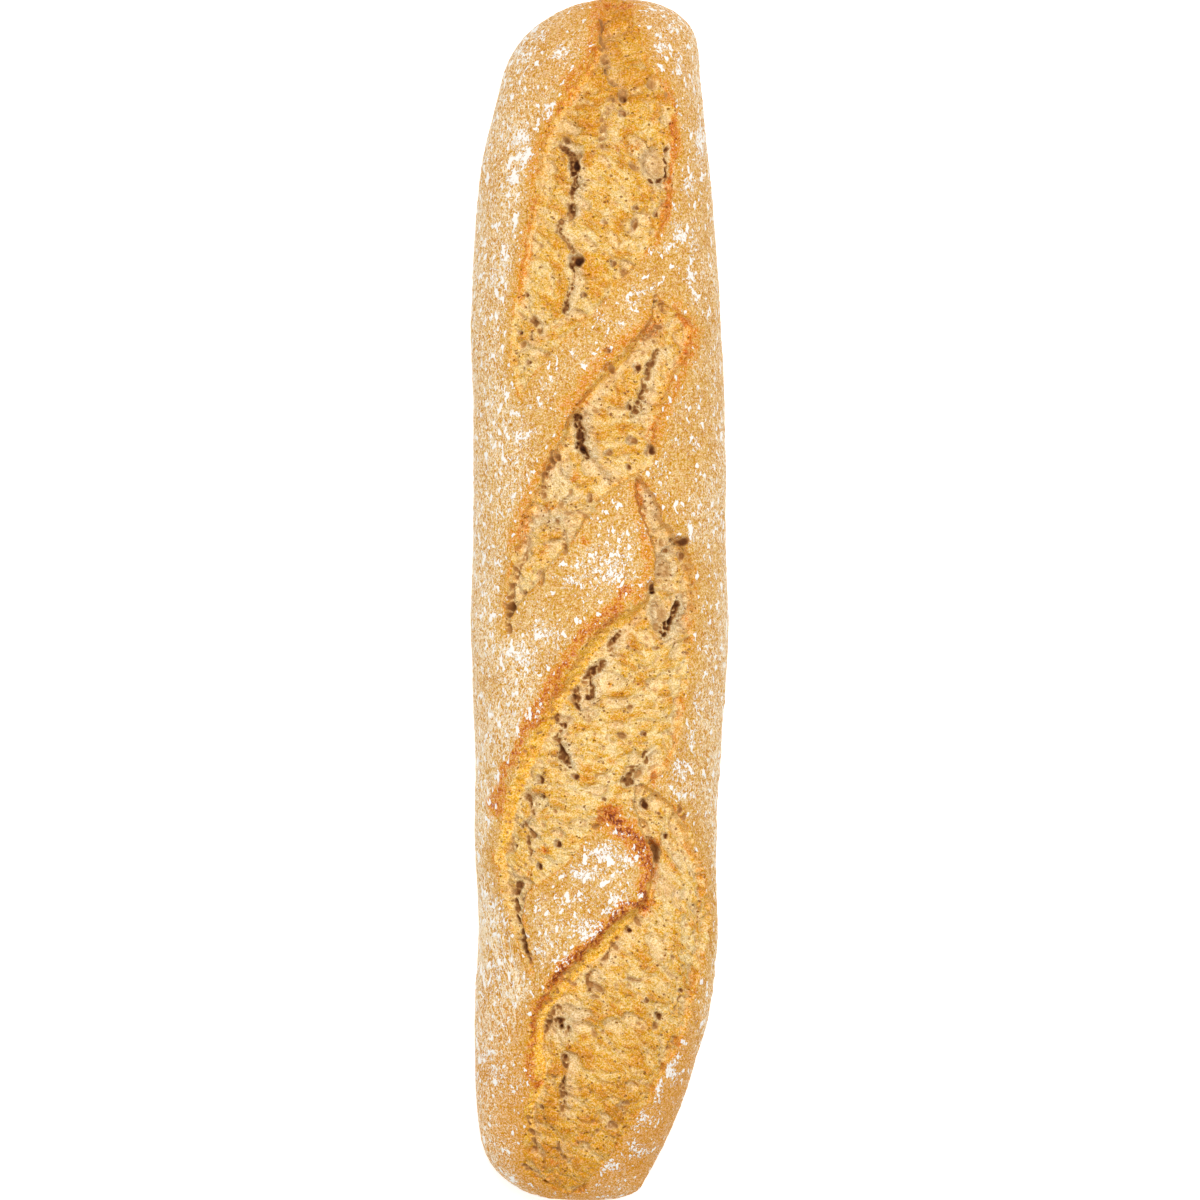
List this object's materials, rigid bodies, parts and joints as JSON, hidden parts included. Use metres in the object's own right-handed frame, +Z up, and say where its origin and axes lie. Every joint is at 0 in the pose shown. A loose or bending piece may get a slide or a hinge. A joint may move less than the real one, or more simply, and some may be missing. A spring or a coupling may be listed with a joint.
{
  "type": "farmhouse loaf",
  "caption": "Long stick-shaped farmhouse loaf with a floured crust, slanting slashes burst open along its crown, rounded ends and a flat base.",
  "frame": {"origin": "middle of the flat base that the loaf rests on", "axes": "+Z up out of the crown, +Y along the loaf towards its broad round end, +X across it to the right"},
  "size_m": [0.0858, 0.4, 0.0614],
  "materials": {
    "crust": "floured golden crust, matte"
  },
  "bodies": {
    "root": {"loaf": "crust"}
  },
  "joints": []
}
